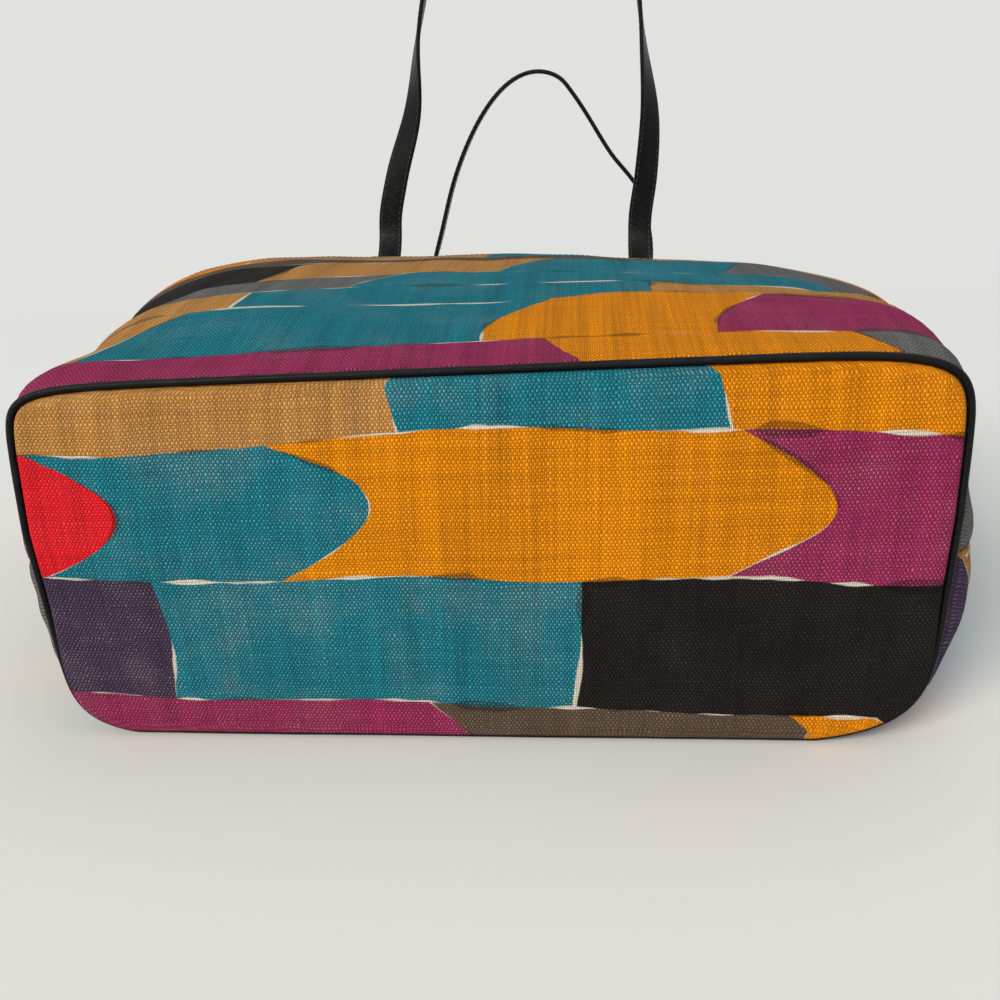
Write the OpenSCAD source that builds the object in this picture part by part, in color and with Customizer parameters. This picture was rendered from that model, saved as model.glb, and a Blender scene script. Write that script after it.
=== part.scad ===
// Printed canvas tote bag with a piped base, lying on its back with the base towards -Y.
// +X runs across the bag, +Y from the base to the mouth, +Z up through the front panel.
// The origin is on the floor, under the middle of the bag's box. All sizes are in millimetres.

/* [Base] */
// Width of the base, across the bag
base_w = 360; // [300:5:440]
// Depth of the base, from the back panel to the front panel
base_d = 154; // [120:2:200]
// Squareness of the base's two front corners: 2 is an ellipse, 14 is nearly a rectangle
base_front_squareness = 12; // [4:0.5:14]
// Squareness of the base's two back corners
base_back_squareness = 6.5; // [4:0.5:14]
// How far the middle of the base swells out past its edge
base_crown = 5; // [0:1:12]
// Width of the base edge that is turned in behind the piping
base_turn_in = 10; // [6:1:16]

/* [Body] */
// Length of the body from the base seam to the mouth
body_h = 290; // [220:5:380]
// Width of the mouth
mouth_w = 450; // [340:5:520]
// Opening of the mouth from the back panel to the front panel
mouth_d = 156; // [100:2:200]
// Squareness of the mouth's two front corners
mouth_front_squareness = 3.5; // [2.5:0.5:8]
// Squareness of the mouth's two back corners
mouth_back_squareness = 4; // [2.5:0.5:8]
// How far the front panel swells between the base and the mouth
front_swell = 13; // [0:1:25]
// How far the sides swell out, most of it close behind the base
side_swell = 13; // [0:1:20]
// Thickness of the backed canvas
cloth_t = 1.6; // [1:0.1:2.4]
// Width of the hem turned in at the mouth
hem_w = 32; // [20:1:45]
// Width of the allowance turned in along each side seam
seam_allowance = 10; // [6:1:16]

/* [Piping] */
// Diameter of the piping bead
piping_d = 3.4; // [3:0.2:6]
// Thickness of the piping tape that is caught in the seam
tape_t = 0.8; // [0.5:0.1:1.2]
// Width of the piping tape
tape_w = 9; // [5:1:14]

/* [Base board] */
// Thickness of the loose board that keeps the base flat
board_t = 2.5; // [1.5:0.5:5]

/* [Handles] */
// Width of a handle strap
strap_w = 14; // [10:1:20]
// Thickness of a handle strap
strap_t = 2.6; // [1.6:0.2:4]
// Distance between the two ends of a handle
handle_spacing = 154; // [110:2:200]
// Height of a handle's arch above its bend
handle_rise = 232; // [150:2:300]
// Length of each strap end that is sewn inside the hem
sewn_length = 28; // [16:1:40]
// Radius, at its middle, of the bend where a strap turns up past the mouth
strap_bend_r = 22; // [14:1:32]
// Clear space between the arches of the two handles
arch_gap = 12; // [6:1:24]
// How far the top of each arch leans to the right
handle_lean = 16; // [-30:2:30]

/* [Fits] */
// Gap between layers that are sewn or laid together
layer_gap = 0.2; // [0.1:0.05:0.3]
// Gap between the base board and the base edge around it
board_gap = 0.6; // [0.3:0.1:1]

/* [Detail] */
// Steps in half an outline, from one side seam to the other
half_steps = 30; // [16:2:40]
// Steps along the body between its base and its hem
body_steps = 9; // [6:1:14]

/* [Hidden] */

print_ground = "darkcyan";
lining_grey = "dimgray";
vinyl_black = "#141416";

// Layers of the base seam, as insets from the outside of the body
seam_stub = 0.4;
tape_inset = cloth_t + seam_stub + layer_gap;
bead_r = piping_d / 2;
// The bead is set far enough in for the tape to leave it within its width
bead_inset = max(1.2, tape_inset + tape_t - 0.9 * bead_r);
bead_y = -(bead_r + layer_gap / 2);
turn_in_inset = max(tape_inset + tape_t, bead_inset + bead_r) + layer_gap;
edge_fold_r = 2;
base_edge_y = bead_y - 0.9;
allowance_start_y = max(base_turn_in, tape_w) + 2;

// The piping stands proud of the body, so the base end of the body is lifted clear of the floor
bead_lift = max(0, bead_r - bead_inset);
lift_run = 0.14;

// The lower half of each outline is cut flat where the bag rests on the floor
floor_cut = 3;

// Height of each strap's middle line where it leaves the mouth, and where its bend ends
hem_t = 2 * cloth_t;
strap_offset = hem_t + layer_gap + strap_t / 2;
front_leg_y = body_h + strap_bend_r * (1 - sin(front_slope()));
back_leg_y = front_leg_y + strap_w + arch_gap;

// The bag's box along Y, and the shift that centres it on the origin
box_near_y = min(bead_y - bead_r, base_edge_y - base_crown);
box_far_y = back_leg_y + strap_w / 2;
centre_y = (box_near_y + box_far_y) / 2;

// Plain helpers
function mix(a, b, k) = a + (b - a) * k;
function ease(k) = let (c = min(1, max(0, k))) c * c * (3 - 2 * c);
function unit(v) = v / norm(v);
function sgn(v) = v < 0 ? -1 : 1;

// The body's outline at a share s of its length, from the base at 0 to the mouth at 1
function half_w(s) = mix(base_w, mouth_w, ease(s)) / 2 + side_swell * sin(180 * sqrt(s));
function floor_z(s) = bead_lift * (1 - ease(s / lift_run));
function top_z(s) =
    mix(bead_lift + base_d, mouth_d, ease(s)) + front_swell * sin(180 * s);
function seam_z(s) = (floor_z(s) + top_z(s)) / 2;
// The corners are square at the base and soften quickly behind it
function soften(s) = 1 - pow(1 - s, 5);
function front_squareness(s) =
    mix(base_front_squareness, mouth_front_squareness, soften(s));
function back_squareness(s) = mix(base_back_squareness, mouth_back_squareness, soften(s));

// Angles round an outline from one side seam, closer together at the corners
function outline_angle(i) =
    let (a = 180 * i / half_steps) a + 6.5 * sin(4 * a);

// A point of the outline, moved in by inset along the outline's own normal
function outline_point(s, angle, inset = 0) =
    let (
        rises = sin(angle) >= 0,
        n = rises ? front_squareness(s) : back_squareness(s),
        w = half_w(s),
        h = rises ? top_z(s) - seam_z(s) : seam_z(s) - floor_z(s) + floor_cut,
        c = cos(angle),
        v = sin(angle),
        r = pow(pow(abs(c), n) + pow(abs(v), n), -1 / n),
        z = seam_z(s) + h * r * v,
        on_floor = z <= floor_z(s),
        normal = on_floor
            ? [0, -1]
            : unit([sgn(c) * pow(abs(r * c), n - 1) / w,
                    sgn(v) * pow(abs(r * v), n - 1) / h])
    )
    [w * r * c, max(z, floor_z(s))] - inset * normal;

// Height of the front panel's outside at a share s of its length and a distance x from its middle
function front_z(s, x) =
    let (n = front_squareness(s), share = pow(abs(x) / half_w(s), n))
    seam_z(s) + (top_z(s) - seam_z(s)) * pow(1 - share, 1 / n);

// Height of the inside of the front hem, on its own flat facets, at a distance x from its middle
function front_hem_inside_z(s, x) =
    lookup(x, [
        for (i = [1 : half_steps - 1])
            let (p = outline_point(s, outline_angle(i), hem_t)) [p.x, p.y]
    ]);

// Slope in degrees at which the front panel reaches the mouth
function front_slope() =
    let (x = handle_spacing / 2, step = 0.01)
    atan((front_z(1, x) - front_z(1 - step, x)) / (step * body_h));

// Every point of a closed outline at y, inset by a distance
function outline_ring(s, inset, y) = [
    for (i = [0 : 2 * half_steps - 1])
        let (p = outline_point(s, outline_angle(i), inset)) [p.x, y, p.y]
];

// Triangles between ring a and ring b of m points; closed joins the last point to the first
function band(a, b, m, closed = true) = [
    for (i = [0 : m - (closed ? 1 : 2)])
        let (j = (i + 1) % m)
            each [[a * m + i, a * m + j, b * m + j], [a * m + i, b * m + j, b * m + i]]
];

// Triangles that cap a ring whose second half runs back along its first
function strip_cap(ring, m, flip) = [
    for (i = [0 : m / 2 - 2])
        let (
            a = ring * m + i,
            b = ring * m + i + 1,
            c = ring * m + m - 2 - i,
            d = ring * m + m - 1 - i
        )
        each flip ? [[a, c, b], [a, d, c]] : [[a, b, c], [a, c, d]]
];

// Moves a piece so that the bag's box is centred on the origin
module centred() {
    translate([0, -centre_y, 0]) children();
}

// A solid skinned over open sections, each a thin strip
module skin_strips(rings) {
    m = len(rings[0]);
    last = len(rings) - 1;
    polyhedron(
        points = [for (ring = rings) each ring],
        faces = concat(
            [for (i = [0 : last - 1]) each band(i, i + 1, m)],
            strip_cap(0, m, true),
            strip_cap(last, m, false)
        )
    );
}

// A solid skinned over sections that run round a closed loop
module skin_loop(rings) {
    m = len(rings[0]);
    count = len(rings);
    polyhedron(
        points = [for (ring = rings) each ring],
        faces = [for (i = [0 : count - 1]) each band(i, (i + 1) % count, m)]
    );
}

// A solid skinned over closed rings, with a point at each end
module skin_dish(first, rings, final) {
    m = len(rings[0]);
    last = len(rings) - 1;
    tip = len(rings) * m;
    polyhedron(
        points = concat([for (ring = rings) each ring], [first, final]),
        faces = concat(
            [for (i = [0 : m - 1]) [tip, (i + 1) % m, i]],
            [for (i = [0 : last - 1]) each band(i, i + 1, m)],
            [for (i = [0 : m - 1]) [tip + 1, last * m + i, last * m + (i + 1) % m]]
        )
    );
}

// Stations along a body panel: [y, thickness, inset of the outside]
function panel_stations() = concat(
    [[0, cloth_t, 0], [allowance_start_y, cloth_t, 0]],
    [
        for (i = [1 : body_steps])
            [mix(allowance_start_y, body_h - hem_w, i / body_steps), cloth_t, 0]
    ],
    [
        [body_h - hem_w + cloth_t / 2, hem_t, 0],
        [body_h - hem_w / 2, hem_t, 0],
        [body_h - cloth_t / 2, hem_t, 0],
        [body_h, hem_t - cloth_t / 2, cloth_t / 2]
    ]
);

// One half of the body's wall at a station, with its seam allowances; side is 1 above, -1 below
function panel_ring(station, side) =
    let (
        y = station[0],
        t = station[1],
        inset = station[2],
        s = y / body_h,
        edge_z = seam_z(s) + side * layer_gap / 2,
        turn = y < allowance_start_y + 1 ? t + seam_stub : max(seam_allowance, t + seam_stub),
        first = side > 0 ? 0 : half_steps,
        angles = [for (i = [1 : half_steps - 1]) outline_angle(first + i)],
        w = half_w(s),
        outside = concat(
            [[side * (w - turn), edge_z], [side * (w - inset), edge_z]],
            [for (a = angles) outline_point(s, a, inset)],
            [[side * -(w - inset), edge_z], [side * -(w - turn), edge_z]]
        ),
        inside = concat(
            [[side * (w - turn), edge_z + side * t], [side * (w - t), edge_z + side * t]],
            [for (a = angles) outline_point(s, a, t)],
            [[side * -(w - t), edge_z + side * t], [side * -(w - turn), edge_z + side * t]]
        ),
        k = len(outside)
    )
    [
        for (p = concat(outside, [for (i = [k - 1 : -1 : 0]) inside[i]]))
            [p.x, y, p.y]
    ];

module front_panel() {
    color(print_ground)
        centred()
            skin_strips([for (station = panel_stations()) panel_ring(station, 1)]);
}

module back_panel() {
    color(print_ground)
        centred()
            skin_strips([for (station = panel_stations()) panel_ring(station, -1)]);
}

// Flat middle of the base, out to its edge fold, as shares of the way from its centre
base_shares = [0.3, 0.55, 0.75, 0.9, 1];
fold_angles = [30, 60, 90];

function base_centre(y) = [0, y, seam_z(0)];

// A ring of the base sheet: the edge ring drawn in towards the centre and swelled outwards
function base_sheet_ring(share, lift) =
    let (
        y = base_edge_y - base_crown * (1 - share * share) + lift,
        edge = outline_ring(0, turn_in_inset + edge_fold_r, y)
    )
    [for (p = edge) mix(base_centre(y), p, share)];

// The base sheet with its edge folded back into the bag, as a thin dish
module base_panel() {
    inner_fold_r = edge_fold_r - cloth_t;
    fold_y = base_edge_y + edge_fold_r;
    outside = concat(
        [for (k = base_shares) base_sheet_ring(k, 0)],
        [
            for (a = fold_angles)
                outline_ring(0, turn_in_inset + edge_fold_r * (1 - sin(a)),
                             fold_y - edge_fold_r * cos(a))
        ],
        [outline_ring(0, turn_in_inset, base_turn_in)]
    );
    inside = concat(
        [
            outline_ring(0, turn_in_inset + cloth_t, base_turn_in),
            outline_ring(0, turn_in_inset + cloth_t, fold_y)
        ],
        [
            for (i = [len(base_shares) - 1 : -1 : 0])
                base_sheet_ring(base_shares[i], cloth_t)
        ]
    );
    color(print_ground)
        centred()
            skin_dish(base_centre(base_edge_y - base_crown), concat(outside, inside),
                      base_centre(base_edge_y - base_crown + cloth_t));
}

// Loose board inside the bag, laid against the base and within its turned edge
module base_board() {
    inset = turn_in_inset + cloth_t + board_gap;
    outline = [
        for (i = [0 : 2 * half_steps - 1]) outline_point(0, outline_angle(i), inset)
    ];
    color(lining_grey)
        centred()
            translate([0, base_edge_y + cloth_t + layer_gap + board_t, 0])
                rotate([90, 0, 0])
                    linear_extrude(board_t)
                        polygon(outline);
}

// Section of the piping as [inset, y]: the tape's two faces, joined round the bead
function piping_section() =
    let (
        outer = asin((tape_inset - bead_inset) / bead_r),
        inner = asin((tape_inset + tape_t - bead_inset) / bead_r),
        steps = 10
    )
    concat(
        [[tape_inset + tape_t, tape_w], [tape_inset, tape_w]],
        [
            for (i = [0 : steps])
                let (a = mix(outer, inner - 360, i / steps))
                [bead_inset + bead_r * sin(a), bead_y + bead_r * cos(a)]
        ]
    );

// Vinyl piping round the base seam: a bead outside and a tape inside
module piping() {
    section = piping_section();
    color(vinyl_black)
        centred()
            skin_loop([
                for (i = [0 : 2 * half_steps - 1])
                    [
                        for (q = section)
                            let (p = outline_point(0, outline_angle(i), q[0]))
                            [p.x, q[1], p.y]
                    ]
            ]);
}

// Steps of a strap: along its sewn end, round its bend and up half its arch
sewn_steps = 3;
bend_steps = 6;
arch_steps = 16;
// The strap is turned edge-on by this angle of its arch
twist_end = 34;

// Half of a strap's route as [point, width direction], from its sewn end to the top of its arch
function strap_half(root, slope, run, leg_y) =
    let (
        x = handle_spacing / 2,
        mouth = root[len(root) - 1],
        out = mouth + run * [0, cos(slope), sin(slope)],
        centre = out + strap_bend_r * [0, -sin(slope), cos(slope)]
    )
    concat(
        [for (p = root) [p, [1, 0, 0]]],
        run > 0 ? [[out, [1, 0, 0]]] : [],
        [
            for (i = [1 : bend_steps])
                let (a = mix(slope, 90, i / bend_steps))
                [centre + strap_bend_r * [0, sin(a), -cos(a)], [1, 0, 0]]
        ],
        [
            for (i = [1 : arch_steps])
                let (
                    a = 90 * i / arch_steps,
                    outwards = unit([handle_rise * cos(a), 0, x * sin(a)]),
                    twist = 90 * ease(a / twist_end)
                )
                [
                    [x * cos(a), leg_y, centre.z + handle_rise * sin(a)],
                    cos(twist) * outwards + sin(twist) * [0, 1, 0]
                ]
        ]
    );

// The whole route: one half, then its mirror image run back, leaning to one side as it rises
function strap_route(half) =
    let (
        top = half[len(half) - 1][0].z,
        whole = concat(
            half,
            [
                for (i = [len(half) - 2 : -1 : 0])
                    [
                        [-half[i][0].x, half[i][0].y, half[i][0].z],
                        [-half[i][1].x, half[i][1].y, half[i][1].z]
                    ]
            ]
        )
    )
    [
        for (q = whole)
            [q[0] + [handle_lean * ease(1 - (top - q[0].z) / handle_rise), 0, 0], q[1]]
    ];

// A strap's section as [across, through], with broken edges
function strap_section() =
    let (w = strap_w / 2, t = strap_t / 2, e = strap_t / 4)
    [
        [-w, t - e], [-w + e, t], [w - e, t], [w, t - e],
        [w, -t + e], [w - e, -t], [-w + e, -t], [-w, -t + e]
    ];

module strap(route) {
    last = len(route) - 1;
    rings = [
        for (i = [0 : last])
            let (
                along = unit(route[min(i + 1, last)][0] - route[max(i - 1, 0)][0]),
                through = unit(cross(along, route[i][1])),
                across = cross(through, along)
            )
            [for (q = strap_section()) route[i][0] + q[0] * across + q[1] * through]
    ];
    color(vinyl_black) centred() skin_strips(rings);
}

// Sewn on the inside of the front panel's hem, which is lowest over the strap's outer edge
module front_handle() {
    x = handle_spacing / 2;
    edge = x + strap_w / 2;
    root = [
        for (i = [0 : sewn_steps])
            let (y = body_h - sewn_length * (1 - i / sewn_steps))
            [x, y, front_hem_inside_z(y / body_h, edge) - layer_gap - strap_t / 2]
    ];
    strap(strap_route(strap_half(root, front_slope(), 0, front_leg_y)));
}

// Sewn on the inside of the back panel's hem
module back_handle() {
    x = handle_spacing / 2;
    root = [
        for (i = [0 : sewn_steps])
            [x, body_h - sewn_length * (1 - i / sewn_steps), strap_offset]
    ];
    run = back_leg_y - strap_bend_r - body_h;
    strap(strap_route(strap_half(root, 0, run, back_leg_y)));
}

base_panel();
base_board();
piping();
front_panel();
back_panel();
front_handle();
back_handle();
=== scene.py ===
"""Dresses a printed canvas tote bag: cloth panels, piping, straps, stitches and a plain studio stage."""

import math

import bpy
import numpy as np
from mathutils import Matrix, Vector, noise


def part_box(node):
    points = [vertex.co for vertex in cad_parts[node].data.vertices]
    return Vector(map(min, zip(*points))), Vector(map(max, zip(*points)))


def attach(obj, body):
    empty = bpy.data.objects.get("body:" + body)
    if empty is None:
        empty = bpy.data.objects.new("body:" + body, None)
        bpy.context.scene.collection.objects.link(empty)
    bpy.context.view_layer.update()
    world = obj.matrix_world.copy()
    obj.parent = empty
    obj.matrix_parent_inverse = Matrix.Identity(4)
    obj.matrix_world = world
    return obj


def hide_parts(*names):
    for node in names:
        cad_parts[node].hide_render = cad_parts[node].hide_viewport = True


bl_info = {
    "name": "Tote Bag Dressing",
    "version": (1, 0, 0),
    "blender": (4, 5, 0),
    "location": "View3D > Sidebar > Tote Bag",
    "description": "Builds the cloth, piping, straps and stage of a canvas tote bag",
    "category": "Object",
}

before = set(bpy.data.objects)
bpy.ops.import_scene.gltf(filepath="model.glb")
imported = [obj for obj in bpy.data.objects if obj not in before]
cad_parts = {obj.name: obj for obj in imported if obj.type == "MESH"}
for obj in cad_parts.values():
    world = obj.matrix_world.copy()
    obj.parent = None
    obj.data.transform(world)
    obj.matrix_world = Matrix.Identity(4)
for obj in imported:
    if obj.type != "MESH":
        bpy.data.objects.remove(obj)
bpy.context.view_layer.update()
MM = 0.001

FRONT_LOW, FRONT_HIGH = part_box("front_panel")
_, PIPING_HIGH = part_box("piping")
FRONT_STRAP_LOW, FRONT_STRAP_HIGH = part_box("front_handle")
BACK_STRAP_LOW, BACK_STRAP_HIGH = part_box("back_handle")
BEAD_PROUD = 0.23 * MM
BASE_Y, MOUTH_Y = FRONT_LOW.y, FRONT_HIGH.y
LENGTH = MOUTH_Y - BASE_Y


def length_property(name, description, default):
    """A size in metres that shows in the sidebar."""
    return bpy.props.FloatProperty(
        name=name, description=description, default=default, subtype="DISTANCE",
        unit="LENGTH", precision=4,
    )


def number_property(name, description, default):
    return bpy.props.FloatProperty(name=name, description=description, default=default)


def colour_property(name, description, red, green, blue):
    """A colour written as it looks on screen, from 0 to 255."""
    return bpy.props.FloatVectorProperty(
        name=name, description=description, subtype="COLOR", size=3, min=0, max=1,
        default=[linear(c) for c in (red, green, blue)],
    )


def ink_property(name, red, green, blue):
    return colour_property(name, "Print colour", red, green, blue)


def linear(value):
    c = value / 255
    return c / 12.92 if c <= 0.04045 else ((c + 0.055) / 1.055) ** 2.4


class ToteBodySizes(bpy.types.PropertyGroup):
    """Shape of the sewn body and base."""

    base_half_width: length_property(
        "Base half width", "Half of the base's width", PIPING_HIGH.x - BEAD_PROUD)
    base_top: length_property(
        "Base top", "Height of the base's front edge", PIPING_HIGH.z - BEAD_PROUD)
    mouth_half_width: length_property(
        "Mouth half width", "Half of the mouth's width", FRONT_HIGH.x - 0.5 * MM)
    mouth_top: length_property(
        "Mouth top", "Height of the front panel at the mouth", FRONT_STRAP_LOW.z + 4.8 * MM)
    front_swell: length_property(
        "Front swell", "How far the front panel swells between base and mouth", 13 * MM)
    side_swell: length_property(
        "Side swell", "How far the left side swells, most of it close behind the base", 16 * MM)
    right_swell: length_property("Right swell", "The same on the right", 21 * MM)
    base_front_squareness: number_property(
        "Base front squareness", "Squareness of the base's front corners", 10)
    base_back_squareness: number_property(
        "Base back squareness", "Squareness of the base's back corners", 5.7)
    mouth_squareness: number_property("Mouth squareness", "Squareness of the mouth's corners", 4)
    left_squareness: number_property(
        "Left squareness", "How much squarer the base's left corners are", 2.5)
    lean: number_property(
        "Lean", "How much higher the right side of the base stands, per unit of width", 0.035)
    mouth_lean: number_property(
        "Mouth lean", "The same at the mouth, where the left side is the higher", -0.028)
    tuck_left: number_property(
        "Left tuck", "Share of its width by which the base narrows down to the floor", 0.055)
    tuck_right: number_property("Right tuck", "The same on the right", 0.025)
    cloth: length_property("Cloth", "Thickness of the canvas", 1.1 * MM)
    hem: length_property("Hem", "Width of the hem turned in at the mouth", 30 * MM)
    allowance: length_property("Allowance", "Width of the side seam allowances", 10 * MM)
    base_crown: length_property("Base crown", "How far the base swells outwards", 3.5 * MM)


class ToteStrapSizes(bpy.types.PropertyGroup):
    """Shape of the two handle straps."""

    width: length_property("Width", "Width of a strap", 14 * MM)
    thickness: length_property("Thickness", "Thickness of a strap", 2.6 * MM)
    bend: length_property("Bend", "Radius of the bend past the mouth", 22 * MM)
    sewn: length_property("Sewn length", "Length of a strap end inside the hem", 28 * MM)
    lean: length_property("Lean", "How far the top of each arch leans to the right", 16 * MM)
    stitch: length_property("Stitch", "Distance from one stitch to the next", 3.4 * MM)


class ToteColours(bpy.types.PropertyGroup):
    """Colours of the print, the bare cloth and the vinyl."""

    teal: ink_property("Teal", 14, 119, 136)
    mustard: ink_property("Mustard", 231, 138, 6)
    plum: ink_property("Plum", 155, 43, 89)
    charcoal: ink_property("Charcoal", 28, 25, 23)
    tan: ink_property("Tan", 192, 135, 69)
    taupe: ink_property("Taupe", 97, 79, 65)
    grey: ink_property("Grey", 106, 104, 104)
    violet: ink_property("Violet", 67, 50, 77)
    red: ink_property("Red", 232, 29, 42)
    ground: colour_property("Ground", "Bare cloth between the blocks", 226, 214, 198)
    vinyl: colour_property("Vinyl", "Straps and piping", 11, 11, 13)


class ToteStage(bpy.types.PropertyGroup):
    """Camera and light."""

    azimuth: number_property("Azimuth", "Camera's turn round the bag, in degrees", 3.64)
    elevation: number_property("Elevation", "Camera's height, in degrees", 19.6)
    roll: number_property("Roll", "Camera's roll, in degrees", -1.2)
    distance: length_property("Distance", "Camera to the base", 0.4365)
    aim_x: length_property("Aim X", "Aim across the base", 0.0076)
    aim_z: length_property("Aim Z", "Aim up the base", 0.1018)
    lens: number_property("Lens", "Focal length for a 36 mm sensor", 41.4)


# Small helpers on numbers and arrays


def mix(a, b, k):
    return a + (b - a) * k


def ease(k):
    c = np.clip(k, 0, 1)
    return c * c * (3 - 2 * c)


def bell(x, middle, width):
    return np.exp(-(((x - middle) / width) ** 2))


def smooth_through(stops, at):
    """Value at a place on a smooth curve through (place, value) stops, level at both ends."""
    x, y = np.array(stops, dtype=float).T
    slope = np.gradient(y, x)
    slope[0] = slope[-1] = 0
    i = int(np.clip(np.searchsorted(x, at) - 1, 0, len(x) - 2))
    run = x[i + 1] - x[i]
    t = float(np.clip((at - x[i]) / run, 0, 1))
    bend = (1 - t) * slope[i] * run - t * slope[i + 1] * run
    return float(mix(y[i], y[i + 1], ease(t)) + t * (1 - t) * bend)


def along(points):
    """Distance along a polyline at each of its points."""
    steps = np.linalg.norm(np.diff(points, axis=0), axis=1)
    return np.concatenate([[0.0], np.cumsum(steps)])


def read_at(places, at, rows):
    """Rows of values at places along a line whose points lie at the distances at."""
    return np.stack([np.interp(places, at, column) for column in rows.T], 1)


def resample(points, count):
    """The same polyline with count points at even distances."""
    at = along(points)
    return read_at(np.linspace(0, at[-1], count), at, points)


def upright(section, y):
    """Points of an (x, z) section that stands at y, one value or one for each point."""
    return np.stack([section[:, 0], np.broadcast_to(y, len(section)), section[:, 1]], 1)


def ripple(points, scale, seed):
    """Smooth noise from -1 to 1 at each point, with features of about the given size."""
    shift = Vector((seed * 17.3, seed * 5.1, seed * 9.7))
    return np.array([noise.noise(Vector(p) / scale + shift) for p in points])


class BodyForm:
    """The bag's puffed shape: a squared outline that flares and swells from base to mouth."""

    LIFT_RUN = 0.14
    FLOOR_CUT = 3 * MM
    # How fast the corners soften along the body, and how close to the side the filling pushes
    SOFTENING, SIDE_POWER = 5.5, 6
    # Shares of the base's height, of the body's length and of the mouth's lean
    TUCK_HEIGHT, SWELL_HEIGHT, SWELL_SPREAD = 0.6, 0.36, 0.28
    TUCK_RUN = 0.35
    SIDE_LEVEL = 0.75

    def __init__(self, sizes):
        self.sizes = sizes

    def half_width(self, s):
        z = self.sizes
        return mix(z.base_half_width, z.mouth_half_width, ease(s))

    def floor(self, s):
        return BEAD_PROUD * (1 - ease(s / self.LIFT_RUN))

    def top(self, s):
        z = self.sizes
        return mix(z.base_top, z.mouth_top, ease(s)) + z.front_swell * math.sin(math.pi * s)

    def seam(self, s):
        return (self.floor(s) + self.top(s)) / 2

    def squareness(self, s, side, c):
        """Squareness at the cosines c; the base's left corners are squarer than its right ones."""
        z = self.sizes
        base = z.base_front_squareness if side > 0 else z.base_back_squareness
        base = base + np.where(c < 0, z.left_squareness, 0)
        return mix(z.mouth_squareness, base, (1 - s) ** self.SOFTENING)

    def half_outline(self, s, side, steps=900):
        """Outline from the right seam to the left one, over the front (1) or under the back (-1)."""
        angle = np.linspace(0, math.pi, steps)
        c, v = np.cos(angle), np.sin(angle)
        n = self.squareness(s, side, c)
        r = (np.abs(c) ** n + np.abs(v) ** n) ** (-1 / n)
        seam, low = self.seam(s), self.floor(s)
        height = self.top(s) - seam if side > 0 else seam - low + self.FLOOR_CUT
        z = np.maximum(seam + side * height * r * v, low)
        return np.stack([self.half_width(s) * r * c, z], 1)

    def ring(self, s, count):
        """The whole outline at even distances, starting at the right seam and going up."""
        front = self.half_outline(s, 1)
        back = self.half_outline(s, -1)[::-1]
        loop = np.concatenate([front, back[1:]])
        return resample(loop, count + 1)[:-1]

    def settle(self, points, s):
        """Lets the filling tilt the two ends and push out the sides above the floor."""
        z = self.sizes
        x, height = points[:, 0], points[:, 2]
        low = np.clip(1 - height / (self.TUCK_HEIGHT * z.base_top), 0, 1)
        tuck = np.where(x > 0, z.tuck_right, z.tuck_left)
        x *= 1 - tuck * low * (1 - ease(s / self.TUCK_RUN))
        near_side = np.clip(np.abs(x) / self.half_width(s), 0, 1) ** self.SIDE_POWER
        swell = np.where(x > 0, z.right_swell, -z.side_swell) * math.sin(math.pi * math.sqrt(s))
        swell *= bell(height, self.SWELL_HEIGHT * z.base_top, self.SWELL_SPREAD * z.base_top)
        x += swell * near_side
        tilt = mix(z.lean, z.mouth_lean * (1 - self.SIDE_LEVEL * near_side), ease(s))
        height += tilt * x * height / z.base_top
        return points


def inward(section):
    """Normals of an open section that goes anticlockwise, pointing to its inside."""
    run = np.gradient(section, axis=0)
    run /= np.linalg.norm(run, axis=1)[:, None]
    return np.stack([-run[:, 1], run[:, 0]], 1)


def inward_round(loop):
    """The same for a closed section."""
    return inward(np.concatenate([loop[-2:], loop, loop[:2]]))[2:-2]


# Meshes


def grid_faces(rows, columns, closed=False, flip=False, capped=False):
    """Quads of a grid of points; closed joins each row's ends, and capped shuts the first and last rows."""
    quads = []
    for i in range(rows - 1):
        for j in range(columns if closed else columns - 1):
            k = (j + 1) % columns
            quad = [i * columns + j, i * columns + k, (i + 1) * columns + k, (i + 1) * columns + j]
            quads.append(quad[::-1] if flip else quad)
    if capped:
        first = list(range(columns))
        quads += [first, [(rows - 1) * columns + i for i in reversed(first)]]
    return quads


def new_piece(name, points, faces, materials, uv=None):
    """A smooth mesh of named materials, not under the floor; uv is each point's flat place, in metres."""
    mesh = bpy.data.meshes.new(name)
    mesh.from_pydata([(x, y, max(z, 0.0)) for x, y, z in points], [], faces)
    for material in materials:
        mesh.materials.append(bpy.data.materials[material])
    if uv is not None:
        layer = mesh.uv_layers.new(name="flat_cut")
        corner = np.zeros(len(mesh.loops), np.int32)
        mesh.loops.foreach_get("vertex_index", corner)
        layer.uv.foreach_set("vector", np.asarray(uv, np.float32)[corner].ravel())
    mesh.shade_smooth()
    mesh.validate()
    piece = bpy.data.objects.new(name, mesh)
    bpy.context.scene.collection.objects.link(piece)
    return piece


def thicken(piece, thickness):
    """Gives a cloth sheet its thickness, with the cloth's reverse on the inside."""
    solid = piece.modifiers.new("cloth_thickness", "SOLIDIFY")
    solid.thickness = thickness
    solid.offset = -1
    solid.material_offset = 1
    solid.use_rim = True


def dressed(piece, slot, *nodes):
    """Puts a piece on the bag's one body, in place of CAD nodes; slot is not used."""
    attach(piece, "root")
    if nodes:
        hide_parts(*nodes)
    return piece


# Rings of a stitch, as shares of its length and radius, and how flat it is
CAPSULE_RINGS = ((-0.5, 0.12), (-0.42, 0.7), (-0.2, 1.0), (0.2, 1.0), (0.42, 0.7), (0.5, 0.12))
CAPSULE_SIDES, CAPSULE_FLATNESS = 6, 0.8


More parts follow.
